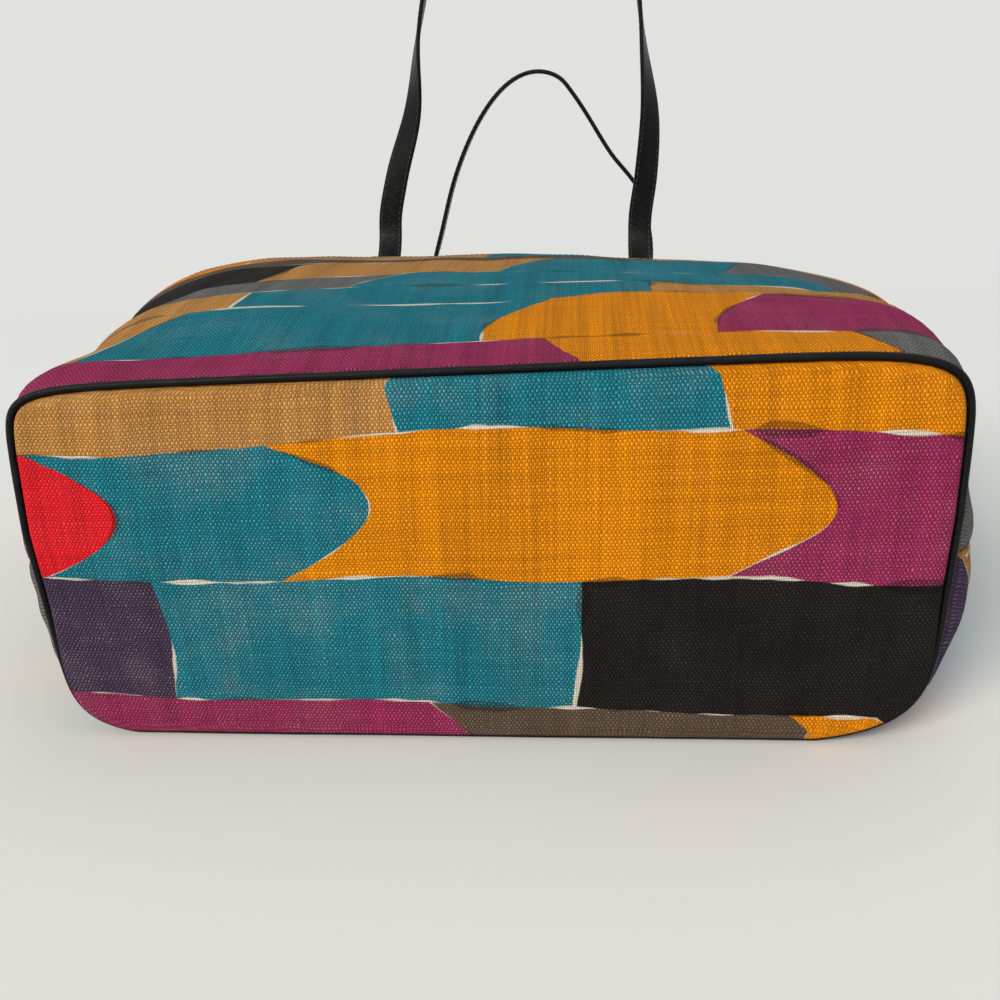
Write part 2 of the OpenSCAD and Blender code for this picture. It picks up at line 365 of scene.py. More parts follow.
def stitches(name, rows, length, radius, material):
    """A piece of short thread lengths; rows hold (middle, direction, outward normal)."""
    points, faces = [], []
    capsule = grid_faces(len(CAPSULE_RINGS), CAPSULE_SIDES, closed=True, flip=True, capped=True)
    for middle, direction, normal in rows:
        d = Vector(direction).normalized()
        up = Vector(normal).normalized()
        across = d.cross(up).normalized()
        faces += [[len(points) + i for i in face] for face in capsule]
        for share, size in CAPSULE_RINGS:
            for i in range(CAPSULE_SIDES):
                a = math.tau * i / CAPSULE_SIDES
                offset = across * math.cos(a) + up * math.sin(a) * CAPSULE_FLATNESS
                points.append(Vector(middle) + d * share * length + offset * radius * size)
    return dressed(new_piece(name, points, faces, [material]), "black_vinyl")


def stitch_line(line, normals, pitch):
    """Places for stitches at even distances along a line of points."""
    at = along(line)
    count = max(2, int(at[-1] / pitch))
    even = (np.arange(count) + 0.5) * at[-1] / count
    behind, middle, ahead = (read_at(even + k * pitch, at, line) for k in (-0.2, 0, 0.2))
    return list(zip(middle, ahead - behind, read_at(even, at, normals)))


# Shader maths


def maths(operation, swapped=False):
    """A method that adds one Math node."""

    def method(self, *others):
        values = (*others, self) if swapped else (self, *others)
        return self.graph.math(operation, *values)

    return method


class Wire:
    """One output of a node; arithmetic on it adds Math nodes to its graph."""

    def __init__(self, graph, socket):
        self.graph = graph
        self.socket = socket

    __add__ = __radd__ = maths("ADD")
    __sub__ = maths("SUBTRACT")
    __rsub__ = maths("SUBTRACT", swapped=True)
    __mul__ = __rmul__ = maths("MULTIPLY")
    __truediv__ = maths("DIVIDE")
    __lt__ = maths("LESS_THAN")
    __gt__ = maths("GREATER_THAN")
    __abs__ = maths("ABSOLUTE")
    floor = maths("FLOOR")
    fract = maths("FRACT")
    sine = maths("SINE")
    least = maths("MINIMUM")
    most = maths("MAXIMUM")


class Graph:
    """The nodes of a material or of the world, which start as one shader and an output."""

    def __init__(self, owner):
        owner.use_nodes = True
        self.tree = owner.node_tree
        self.last = next(n for n in self.tree.nodes if n.type.startswith("OUTPUT"))
        self.shader = self.last.inputs["Surface"].links[0].from_node

    def node(self, kind, settings=None, values=None, output=0):
        """Adds a node, sets it up, sets or links its sockets and returns one output."""
        made = self.tree.nodes.new(kind)
        for key, value in (settings or {}).items():
            if key == "stops":
                self.set_stops(made.color_ramp, value)
            else:
                setattr(made, key, value)
        for key, value in (values or {}).items():
            if isinstance(value, Wire):
                self.tree.links.new(value.socket, made.inputs[key])
            else:
                made.inputs[key].default_value = value
        return Wire(self, made.outputs[output])

    @staticmethod
    def set_stops(ramp, colours):
        """Gives each colour an equal share of a constant ramp."""
        ramp.interpolation = "CONSTANT"
        while len(ramp.elements) < len(colours):
            ramp.elements.new(1.0)
        for i, (element, colour) in enumerate(zip(ramp.elements, colours)):
            element.position = i / len(colours)
            element.color = (*colour, 1)

    def math(self, operation, *values):
        return self.node("ShaderNodeMath", {"operation": operation}, dict(enumerate(values)))

    def point(self, x, y, z=0.0):
        return self.node("ShaderNodeCombineXYZ", None, {0: x, 1: y, 2: z})

    def split(self, vector):
        return [self.node("ShaderNodeSeparateXYZ", None, {0: vector}, i) for i in range(3)]

    def place(self):
        return self.node("ShaderNodeTexCoord", None, None, "Object")

    def chance(self, *keys):
        """A fixed chance number from 0 to 1 for up to three whole numbers."""
        x, y, z = (*keys, 0.0, 0.0)[:3]
        place = self.point(x, y, z)
        return self.node("ShaderNodeTexWhiteNoise", {"noise_dimensions": "3D"}, {"Vector": place})

    def cloud(self, place, scale, detail=2.0, roughness=0.5):
        """Smooth noise from 0 to 1."""
        return self.node(
            "ShaderNodeTexNoise", {"noise_dimensions": "3D"},
            {"Vector": place, "Scale": scale, "Detail": detail, "Roughness": roughness},
        )

    def between(self, value, low, high):
        """0 below low, 1 above high, smooth between."""
        return self.node(
            "ShaderNodeMapRange", {"interpolation_type": "SMOOTHSTEP"},
            {"Value": value, "From Min": low, "From Max": high},
        )

    def blend(self, a, b, factor, kind="MIX"):
        """Mixes two colours."""
        a, b = (c if isinstance(c, Wire) else (*c, 1) for c in (a, b))
        return self.node(
            "ShaderNodeMix", {"data_type": "RGBA", "blend_type": kind}, {0: factor, 6: a, 7: b}, 2,
        )

    def shade(self, colour, value):
        """A colour times a value."""
        grey = self.node("ShaderNodeCombineColor", None, {0: value, 1: value, 2: value})
        return self.blend(colour, grey, 1.0, "MULTIPLY")

    def finish(self, links, constants, height=None, depth=0.001, strength=1.0):
        """Links and sets the shader's inputs; a height becomes its bump."""
        for key, value in constants.items():
            self.shader.inputs[key].default_value = value
        for key, wire in links.items():
            self.tree.links.new(wire.socket, self.shader.inputs[key])
        if height is not None:
            bump = self.node(
                "ShaderNodeBump", None,
                {"Height": height, "Distance": depth, "Strength": strength}, "Normal",
            )
            self.tree.links.new(bump.socket, self.shader.inputs["Normal"])

    def pale_where_seen(self, pale, share=1.0):
        """Shows a pale shader to the eye, glossy surfaces and glass, and the lit one to the rest."""
        rays = [
            self.node("ShaderNodeLightPath", None, None, f"Is {kind} Ray")
            for kind in ("Camera", "Glossy", "Transmission")
        ]
        seen = rays[0].most(rays[1]).most(rays[2]) * share
        lit = Wire(self, self.shader.outputs[0])
        both = self.node("ShaderNodeMixShader", None, {0: seen, 1: lit, 2: pale})
        self.tree.links.new(both.socket, self.last.inputs["Surface"])


def new_graph(name):
    return Graph(bpy.data.materials.new(name))


THREAD_DEPTH = 0.6 * MM
# The print's and the weave's measures on the flat cloth, in mm
COURSE, LONGEST_RED = 56.0, 105
BLOCK_RUN, RUN_SPREAD = 210, 250
SWAY, SWING, SLANT, BOW = 26, 14, 46, 40
BARE_WIDTH, OVER_WIDTH = 1.2, 3.2
WARP_PITCH, WEFT_PITCH = 0.82, 1.27
INK_ORDER = (
    "teal", "mustard", "charcoal", "tan", "plum", "teal", "taupe", "mustard", "grey", "red", "violet",
)
# How far the pale thread shows on the tops of the threads under each ink
PALE_SHOWS = {
    "teal": 0.33, "mustard": 0.03, "charcoal": 0.04, "tan": 0.2, "plum": 0.2, "taupe": 0.12,
    "grey": 0.12, "red": 0.06, "violet": 0.27,
}


def flat_cut(g):
    """Place on the flat cloth, in millimetres."""
    uv = g.node("ShaderNodeUVMap", {"uv_map": "flat_cut"})
    u, v, _ = g.split(uv)
    return u * 1000, v * 1000


def block_print(g, u, v, colours):
    """Courses of plain blocks with hand-cut edges: ink, bare cloth, and how far pale thread shows."""
    place = g.point(u, v)
    away = g.point(u + 730, v - 410)
    sway = (g.cloud(place, 1 / 170, 1.0) - 0.5) * SWAY
    swing = (g.cloud(away, 1 / 90, 1.0) - 0.5) * SWING
    rough = (g.cloud(place, 1 / 8, 2.0) - 0.5) * 1.0
    vv = v + sway + rough
    course = (vv / COURSE).floor()
    f = (vv / COURSE).fract()
    split = 0.34 + 0.34 * g.chance(course, 3.0)
    cut = split + (g.chance(course, 7.0) > 0.6) * 4
    row = course * 2 + (f > cut)
    to_row = f.least(1 - f).least(abs(f - cut)) * COURSE

    run = BLOCK_RUN + RUN_SPREAD * g.chance(row, 11.0)
    tilt = g.chance(row, 13.0) * 2 - 1
    slant = tilt * tilt * tilt * SLANT * f
    arch = g.chance(row, 17.0) * 2 - 1
    bow = arch * arch * arch * BOW * (f * math.pi).sine()
    uu = u + swing + slant + bow + rough + 900 * g.chance(row, 19.0)
    block = (uu / run).floor()
    e = (uu / run).fract()
    part = 0.25 + 0.5 * g.chance(row, block, 23.0)
    piece = block * 2 + (e > part)
    to_end = e.least(1 - e).least(abs(e - part)) * run

    red, stand_in = INK_ORDER.index("red"), INK_ORDER.index("tan")
    step = piece * 2 + (g.chance(row, piece, 29.0) > 0.5) + 3 * row
    kind = g.math("FLOORED_MODULO", step, float(len(INK_ORDER)))
    reach = run * (part + (e > part) * (1 - 2 * part))
    kind = kind - (abs(kind - red) < 0.5) * (reach > LONGEST_RED) * (red - stand_in)
    place_in_order = (kind + 0.5) / len(INK_ORDER)
    inks = [getattr(colours, name) for name in INK_ORDER]
    shows = [(PALE_SHOWS[name],) * 3 for name in INK_ORDER]
    ink, show = (
        g.node("ShaderNodeValToRGB", {"stops": values}, {"Fac": place_in_order})
        for values in (inks, shows)
    )

    edge = to_row.least(to_end)
    bare_here = g.cloud(away, 1 / 38, 1.5)
    bare_width = g.between(bare_here, 0.5, 0.68) * BARE_WIDTH
    over_width = (1 - g.between(bare_here, 0.3, 0.5)) * OVER_WIDTH
    over = (1 - g.between(edge - over_width, -0.5, 0.3)) * (over_width > 0.05)
    bare = (1 - g.between(edge - bare_width, -0.35, 0.25)) * (bare_width > 0.05)
    return g.shade(ink, 1 - 0.5 * over), bare, show


def weave(g, u, v):
    """Plain weave: height of the threads, painted light and shade from their relief times each thread's own
    tone, and the thread tops, which get a painted highlight and pale thread.
    """
    place = g.point(u, v)
    lean = 1.1 * g.cloud(place, 1 / 26, 1.0) + 1.4 * g.cloud(g.point(u / 3, v / 17), 1.0, 1.0)
    drift = 1.3 * g.cloud(g.point(v, u), 1 / 31, 1.0) + 1.9 * g.cloud(g.point(u / 17, v / 4), 1.0, 1.0)
    x = (u + lean) / WARP_PITCH
    y = (v + drift) / WEFT_PITCH
    over = g.math("PINGPONG", x.floor() + y.floor(), 1.0)
    ridge_x = (x.fract() * math.pi).sine()
    ridge_y = (y.fract() * math.pi).sine()
    warp = ridge_x * (0.4 + 0.6 * ridge_y)
    weft = ridge_y * (0.4 + 0.6 * ridge_x)
    height = warp * over + weft * (1 - over)
    crossing = ridge_x * ridge_y * (1 - 2 * over)
    knot = g.chance(x.floor(), y.floor(), 37.0)
    # Tops of the threads: printed_canvas paints a highlight there, with pale thread where the ink is rubbed
    tops = g.between(crossing, 0.45 * knot, 0.9) * (0.25 + 1.1 * knot)
    fine = g.cloud(g.point(u / 1.7, v / 90), 1.0, 1.0)
    band = g.cloud(g.point(u / 9, v / 210), 1.0, 2.0)
    cross_band = g.cloud(g.point(u / 130, v / 2.6), 1.0, 1.0)
    threads = 0.21 + 0.55 * fine + 0.63 * band + 0.4 * cross_band
    # Painted light and shade: lighter where the threads cross, darker between them; threads adds each
    # thread's own tone
    return height, (0.74 + 0.23 * crossing + 0.12 * ridge_y) * threads, tops


def printed_canvas(colours, name, rubbed):
    """Canvas with a block print: painted light and shade on the weave and a painted highlight on the thread
    tops, where pale thread also shows through the ink, more where it is rubbed.
    """
    g = new_graph(name)
    u, v = flat_cut(g)
    ink, bare, show = block_print(g, u, v, colours)
    height, light, tops = weave(g, u, v)
    worn = g.between(g.cloud(g.point(u, v), 1 / 30, 4.0, 0.6), 0.42, 0.74)
    # Painted light and shade of the weave: crossings lighter, gaps between the threads darker
    ink = g.shade(ink, light)
    show = show * rubbed
    # A lighter copy of the ink as a painted highlight on the thread tops, mixed with bare ground where the
    # ink is rubbed off
    pale = g.blend(g.shade(ink, 1.5), colours.ground, show * (0.4 + 0.8 * worn))
    ink = g.blend(ink, pale, tops)
    ink = g.blend(ink, colours.ground, worn * show * 0.12)
    # Bare cloth, with painted shade where the threads lie low
    cloth = g.shade(colours.ground, 0.72 + 0.34 * height)
    g.finish(
        {"Base Color": g.blend(ink, cloth, bare)}, {"Roughness": 0.92, "Specular IOR Level": 0.12},
        height, THREAD_DEPTH, 0.8,
    )


def canvas_reverse(colours):
    """The unprinted side, with the print just showing through."""
    g = new_graph("cloth_reverse")
    u, v = flat_cut(g)
    ink, bare, _ = block_print(g, u, v, colours)
    height, light, tops = weave(g, u, v)
    pale = g.blend(g.blend(colours.ground, ink, 0.3), colours.ground, bare)
    # Painted light and shade of the weave, with a faint painted highlight on the thread tops
    g.finish(
        {"Base Color": g.shade(pale, light + 0.1 * tops)},
        {"Roughness": 0.94, "Specular IOR Level": 0.12},
        height, THREAD_DEPTH, 0.8,
    )


def black_vinyl(colours):
    """Smooth vinyl with a fine leather grain and a soft shine."""
    g = new_graph("grained_vinyl")
    at = g.place()
    cell = g.node(
        "ShaderNodeTexVoronoi", {"feature": "DISTANCE_TO_EDGE"}, {"Vector": at, "Scale": 1150.0},
    )
    grain = g.between(cell, 0.0, 0.22)
    wrinkle = g.cloud(at, 160.0, 3.0)
    scuff = g.between(g.cloud(at, 60.0, 4.0), 0.55, 0.8)
    colour = g.blend(colours.vinyl, [3.2 * c for c in colours.vinyl], scuff)
    g.finish(
        {"Base Color": colour, "Roughness": 0.26 + 0.16 * wrinkle + 0.08 * scuff},
        {"Specular IOR Level": 0.13},
        grain * 0.5 + wrinkle, 0.00025, 0.6,
    )


def thread(name, colour):
    """Twisted sewing thread."""
    g = new_graph(name)
    x, y, z = g.split(g.place())
    twist = ((x + y + z) * 9000).sine()
    # Colour lighter on the twist's ridges and darker between them: painted shade
    g.finish(
        {"Base Color": g.shade(colour, 0.8 + 0.25 * twist)},
        {"Roughness": 0.6, "Sheen Weight": 0.2},
        twist, 0.0001, 0.5,
    )


def board_finish():
    """Plain dark board with a faint pressed grain."""
    g = new_graph("dark_board")
    at = g.place()
    speck = g.cloud(at, 420.0, 4.0)
    mottle = g.cloud(at, 18.0, 3.0)
    colour = g.shade(g.blend((0.03, 0.03, 0.032), (0.06, 0.058, 0.055), mottle), 0.75 + 0.5 * speck)
    g.finish(
        {"Base Color": colour, "Roughness": 0.62 + 0.2 * speck}, {"Specular IOR Level": 0.35},
        speck, 0.0002, 0.5,
    )


# Pieces

FRONT_PRINT_AT = (3.576, 1.824)
BACK_PRINT_AT = (1.87, 1.33)
BASE_PRINT_AT = (2.82, 0.432)
FRONT_SEED, BACK_SEED = 1, 11

EDGE_R = 2.2 * MM
SEAM_GAP = 0.6 * MM
SEAM_POINTS = 6
FOLD_R = 1.3 * MM
HEM_INSET = 2 * FOLD_R + 0.2 * MM
PANEL_STEPS, PANEL_COLUMNS = 88, 150
FOOT_SHARE, FOOT_STEPS = 0.05, 9
ARC = np.radians([0, 22.5, 45, 67.5, 90])
TUCK_SHARES = (1.0, 0.7, 0.4)
WALL_START = len(TUCK_SHARES) + len(ARC)
HEM_ROWS = (4 * MM, 27 * MM)
HEM_PITCH, HEM_STITCH = 3.2 * MM, 2.3 * MM
THREAD_R, STITCH_SUNK = 0.33 * MM, 0.05 * MM
FOLD_WIDTH, FOLD_FADE = 9 * MM, 16 * MM
DIP_AWAY, DIP_WIDTH = 15 * MM, 11 * MM
PUCKER_PITCH, PUCKER_HEIGHT, PUCKER_RUN = 19.5 * MM, 0.45 * MM, 13 * MM
DENT_SIZE, DENT_HEIGHT = 85 * MM, 2.4 * MM
DRAG_SIZE, DRAG_HEIGHT = 30 * MM, 0.8 * MM

# Soft folds across the front, in mm: points (x, y), ridge, dip, and strength at each end
CREASES = (
    (((-180, -72), (-163, -56), (-145, -32), (-115, 1), (-86, 10)), 2.0, 4.5, 1.0, 0.1),
    (((49, -81), (74, -84), (102, -79), (135, -81), (154, -78), (178, -50)), 1.2, 2.8, 0.3, 1.0),
    (((112, -100), (134, -102), (149, -104), (164, -111), (182, -130)), 1.2, 2.4, 0.1, 1.0),
)
# Where the filling pushes the front out or the cloth draws in, in mm: place, reach and height
LOBES = (
    ((-170, -150, 148), 28, 3.6),
    ((-155, -76, 154), 20, 2.4),
    ((-184, -26, 145), 34, -7.0),
    ((172, -150, 150), 24, 2.6),
    ((178, -100, 148), 32, 6.5),
    ((174, -15, 152), 36, -3.5),
)


def panel_row(form, s, side, inset):
    """One row of a panel: allowance, turned seam edge, wall, and the same on the other side."""
    wall = form.half_outline(s, side)
    seam, w = form.seam(s), form.half_width(s)
    wall = resample(wall[np.abs(wall[:, 1] - seam) > EDGE_R + SEAM_GAP], PANEL_COLUMNS)
    base = seam + side * SEAM_GAP
    tuck = [(w - form.sizes.allowance * k, base) for k in TUCK_SHARES]
    turn = [(w - EDGE_R + EDGE_R * math.sin(a), base + side * EDGE_R * (1 - math.cos(a))) for a in ARC]
    right = np.array(tuck + turn)
    left = right[::-1] * (-1, 1)
    row = np.concatenate([right, wall, left])
    if inset:
        row = row + inward(row) * inset * side
    return row


def panel_rows(form):
    """Rows of a panel as (share of the length, y, inset), up the wall, over the fold, down the hem."""
    foot = np.linspace(0, FOOT_SHARE, FOOT_STEPS)[:-1]
    rise = np.concatenate([foot, np.linspace(FOOT_SHARE, 1, PANEL_STEPS)[:-1]])
    rows = [(s, s * LENGTH, 0.0) for s in rise]
    for a in np.radians([0, 40, 90, 140, 180]):
        rows.append((1.0, LENGTH - FOLD_R + FOLD_R * math.sin(a), FOLD_R * (1 - math.cos(a))))
    for k in np.linspace(0.1, 1, 10):
        y = LENGTH - FOLD_R - k * form.sizes.hem
        rows.append((y / LENGTH, y, HEM_INSET))
    return rows


def crease_relief(points, line, ridge, dip, start, end):
    """A soft fold along a line on the front: a low ridge, with a dip on the side of the mouth."""
    line = resample(np.array(line) * MM, 60)
    ahead = np.gradient(line, axis=0)
    ahead /= np.linalg.norm(ahead, axis=1)[:, None]
    gaps = points[:, None, :2] - line
    near = np.argmin((gaps**2).sum(2), axis=1)
    gap, run = gaps[np.arange(len(points)), near], ahead[near]
    past_end = (gap * run).sum(1)
    across = gap[:, 1] * run[:, 0] - gap[:, 0] * run[:, 1]
    fold = ridge * bell(across, 0, FOLD_WIDTH) - dip * bell(across, DIP_AWAY, DIP_WIDTH)
    return fold * MM * bell(past_end, 0, FOLD_FADE) * mix(start, end, near / (len(line) - 1))


def soft_relief(points, at, s, side, seed):
    """How far cloth stands out from the plain form: dents, drag lines, folds and seam puckers."""
    relief = ripple(points, DENT_SIZE, seed) * DENT_HEIGHT
    relief += ripple(points * (1.0, 0.45, 1.0), DRAG_SIZE, seed + 3) * DRAG_HEIGHT
    relief *= ease(s / 0.10)
    if side > 0:
        folds = sum(crease_relief(points, *crease) for crease in CREASES)
        for place, reach, height in LOBES:
            away = np.linalg.norm(points - np.array(place) * MM, axis=1)
            folds += height * MM * bell(away, 0, reach * MM)
        relief += folds * ease(s / FOOT_SHARE)
    else:
        relief *= ease((points[:, 2] - 4 * MM) / 0.03)
    pucker = np.sin(math.tau * at / PUCKER_PITCH + 2.2 * ripple(points, 0.05, seed + 5))
    return relief + pucker * PUCKER_HEIGHT * math.exp(-s * LENGTH / PUCKER_RUN)


def panel_line(form, s, y, inset, side, seed):
    """Points of one row of a panel as the cloth lies, and their places across the flat cloth."""
    section = panel_row(form, s, side, inset)
    outside = panel_row(form, s, side, 0.0) if inset else section
    line, plain = (upright(row, BASE_Y + y) for row in (section, outside))
    at = along(section)
    at = at - at[-1] / 2
    relief = soft_relief(plain, at, s, side, seed)
    relief[:SEAM_POINTS] = relief[-SEAM_POINTS:] = 0
    outward = -inward(section) * side
    line[:, 0] += outward[:, 0] * relief
    line[:, 2] += outward[:, 1] * relief
    return form.settle(line, s), at


def hem_height(form, side, seed, inside):
    """A function that gives the height of the hem's inner or outer face near the bag's middle."""
    inset = HEM_INSET if inside else 0.0
    rows = [r for r in panel_rows(form) if r[2] == inset and r[1] > LENGTH - form.sizes.hem - 0.01]
    lines = [panel_line(form, *row, side, seed)[0] for row in sorted(rows)]
    lines = [line[np.argsort(line[:, 0])] for line in lines]

    def height(x, y):
        across = [np.interp(x, line[:, 0], line[:, 2]) for line in lines]
        return float(np.interp(y, [line[0, 1] for line in lines], across))

    return height


def cloth_panel(name, form, side, print_at, seed):
    """A body panel as one sheet of cloth, with its allowances and its turned hem."""
    points, uv, run = [], [], 0.0
    for row in panel_rows(form):
        line, at = panel_line(form, *row, side, seed)
        if points:
            run += float(np.linalg.norm(line[len(line) // 2] - points[-1][len(line) // 2]))
        points.append(line)
        uv.append(np.stack([-at * side + print_at[0], np.full(len(at), run + print_at[1])], 1))
    faces = grid_faces(len(points), len(points[0]), flip=side > 0)
    materials = ["block_printed_cloth", "cloth_reverse"]
    piece = new_piece(name, np.concatenate(points), faces, materials, np.concatenate(uv))
    thicken(piece, form.sizes.cloth)
    return piece, points, run


def hem_stitch_rows(points, side):
    """Two rows of topstitching round the outside of the mouth."""
    grid = np.array(points)
    rows = []
    ys = grid[:, grid.shape[1] // 2, 1]
    wall = int(np.argmax(ys))
    for below in HEM_ROWS:
        i = int(np.argmin(np.abs(ys[:wall] - (ys[wall] - below))))
        line = grid[i][WALL_START:-WALL_START]
        normal = upright(-inward(line[:, [0, 2]]) * side, 0.0)
        rows += stitch_line(line - normal * STITCH_SUNK, normal, HEM_PITCH)
    return rows


class TOTE_OT_body(bpy.types.Operator):
    """Sew the front and back panels of the body"""

    bl_idname = "tote.body"
    bl_label = "Body Panels"

    def execute(self, context):
        form = BodyForm(context.scene.tote_body)
        for name, side, at, seed in (
            ("front", 1, FRONT_PRINT_AT, FRONT_SEED), ("back", -1, BACK_PRINT_AT, BACK_SEED),
        ):
            piece, points, run = cloth_panel(f"{name}_cloth", form, side, at, seed)
            dressed(piece, "printed_canvas", f"{name}_panel")
            rows = hem_stitch_rows(points, side)
            sewing = stitches(f"{name}_hem_stitches", rows, HEM_STITCH, THREAD_R, "dark_thread")
        return {"FINISHED"}


class TOTE_OT_base(bpy.types.Operator):
    """Make the base cloth with its turned edge, and finish the board inside it"""

    bl_idname = "tote.base"
    bl_label = "Base"

    RING, FACE_RINGS = 360, 44
    EDGE_INSET = 6.0 * MM
    EDGE_Y = -5.4 * MM
    TURN_INSET = 3.4 * MM
    TURN_IN = 10 * MM
    WAVE_SIZE, WAVE_HEIGHT = 36 * MM, 1.25 * MM
    SWELL_SIZE, SWELL_HEIGHT = 110 * MM, 1.3 * MM
    PUCKER_PITCH, PUCKER_HEIGHT = 17.2 * MM, 0.35 * MM
    BOARD_INSET, BOARD_EDGE = 5.55 * MM, 0.5 * MM
    BOARD_FRONT, BOARD_BACK = -0.9 * MM, 1.6 * MM
    # The rim's way into the seam, inset and depth: it sags over the bead where the base stands
    SAGGED = np.array([
        (4.6, -5.35), (3.4, -5.2), (2.5, -4.85), (2.1, -4.4), (2.3, -3.95), (2.9, -3.5), (3.4, -2.7),
        (3.4, -1.0), (3.4, 3.0), (3.4, 6.5), (3.4, 10.0)]) * MM
    PULLED_IN = np.array([
        (5.3, -5.1), (4.75, -4.7), (4.25, -4.2), (3.85, -3.6), (3.6, -3.0), (3.45, -2.3), (3.4, -1.6),
        (3.4, -0.6), (3.4, 3.0), (3.4, 6.5), (3.4, 10.0)]) * MM

    def edge_ring(self, form, inset):
        loop = form.ring(0.0, self.RING)
        return loop + inward_round(loop) * inset

    def face_ring(self, edge, centre, share, crown):
        """One ring of the swollen face, with the cloth's waves and the puckers of its edge."""
        at = along(np.concatenate([edge, edge[:1]]))[:-1]
        ring = upright(mix(centre, edge, share), self.EDGE_Y - crown * (1 - share**2))
        tall = ripple(ring * (1.0, 1.0, 0.3), self.WAVE_SIZE, 21) * self.WAVE_HEIGHT
        broad = ripple(ring, self.SWELL_SIZE, 23) * self.SWELL_HEIGHT
        fade = 1 - ease((share - 0.85) / 0.15)
        pucker = np.sin(math.tau * at / self.PUCKER_PITCH) * self.PUCKER_HEIGHT * bell(share, 1.0, 0.06)
        ring[:, 1] += (tall + broad) * fade + pucker
        return ring

    def rim_rings(self, form, edge):
        """The rings of the rim and the turned edge, pulled in or sagging by their height."""
        height = (edge[:, 1] - edge[:, 1].min()) / np.ptp(edge[:, 1])
        pull = ease((height - 0.12) / 0.3)[:, None]
        rims = [mix(sagged, pulled, pull) for sagged, pulled in zip(self.SAGGED, self.PULLED_IN)]
        return [upright(self.edge_ring(form, rim[:, :1]), rim[:, 1]) for rim in rims]

    def execute(self, context):
        z = context.scene.tote_body
        form = BodyForm(z)
        centre = np.array([0.0, form.seam(0)])
        edge = self.edge_ring(form, self.EDGE_INSET)
        face = [
            self.face_ring(edge, centre, share, z.base_crown)
            for share in np.linspace(0.02, 1, self.FACE_RINGS)
        ]
        rims = self.rim_rings(form, edge)
        uv = [ring[:, [0, 2]] + BASE_PRINT_AT for ring in face]
        out = face[-1][:, [0, 2]] - centre
        out /= np.linalg.norm(out, axis=1)[:, None]
        uv += [uv[-1] + out * np.linalg.norm(rim - face[-1], axis=1)[:, None] for rim in rims]
        points = np.concatenate(face + rims)
        points[:, 1] += BASE_Y
        middle = points[: self.RING].mean(0)
        points = form.settle(np.concatenate([points, [middle]]), 0.0)
        uv = np.concatenate([*uv, [centre + BASE_PRINT_AT]])
        faces = grid_faces(len(face + rims), self.RING, closed=True, flip=True)
        tip = len(points) - 1
        faces += [[tip, i, (i + 1) % self.RING] for i in range(self.RING)]
        piece = new_piece("base_cloth", points, faces, ["rubbed_base_cloth", "cloth_reverse"], uv)
        thicken(piece, z.cloth)
        dressed(piece, "printed_canvas", "base_panel")
        self.board(form)
        return {"FINISHED"}

    def board(self, form):
        """The stiff board inside, leaning as the base does."""
        front, back, edge = self.BOARD_FRONT, self.BOARD_BACK, self.BOARD_EDGE
        centre = np.array([0.0, form.seam(0)])
        face, rim = (self.edge_ring(form, self.BOARD_INSET + inset) for inset in (edge, 0.0))
        inner = [mix(centre, face, share) for share in (0.02, 0.3, 0.6, 0.85, 0.97)]
        rings = [(ring, front) for ring in [*inner, face]]
        rings += [(rim, front + edge), (rim, back - edge)]
        rings += [(ring, back) for ring in [face, *reversed(inner)]]
        points = np.concatenate([upright(ring, BASE_Y + y) for ring, y in rings])
        faces = grid_faces(len(rings), self.RING, closed=True, flip=True, capped=True)
        piece = new_piece("stiff_board", form.settle(points, 0.0), faces, ["dark_board"])
        dressed(piece, "base_board", "base_board")


class TOTE_OT_piping(bpy.types.Operator):
    """Run the vinyl piping round the base seam"""

    bl_idname = "tote.piping"
    bl_label = "Piping"

    RING = 640
    SIDES = 14
    RADIUS = 1.55 * MM
    INSET = 1.47 * MM
    Y = -1.8 * MM
    BUMP_SIZE, BUMP_SHARE = 12 * MM, 0.05
    SWAY_SIZE, SWAY = 45 * MM, 0.5 * MM

    def execute(self, context):
        form = BodyForm(context.scene.tote_body)
        loop = form.ring(0.0, self.RING)
        inside = inward_round(loop)
        centre = loop + inside * self.INSET
        at = upright(centre, 0.0)
        thick = self.RADIUS * (1 + self.BUMP_SHARE * ripple(at, self.BUMP_SIZE, 31))
        sway = ripple(at, self.SWAY_SIZE, 33) * self.SWAY
        rings = []
        for i in range(self.SIDES):
            a = math.tau * i / self.SIDES
            flat = centre + inside * (math.cos(a) * thick)[:, None]
            rings.append(upright(flat, BASE_Y + self.Y + sway + math.sin(a) * thick))
        points = form.settle(np.concatenate(rings), 0.0)
        quads = grid_faces(self.SIDES + 1, self.RING, closed=True)
        faces = [[k % len(points) for k in quad] for quad in quads]
        piece = new_piece("piping_bead", points, faces, ["grained_vinyl"])
        dressed(piece, "black_vinyl", "piping")
        return {"FINISHED"}


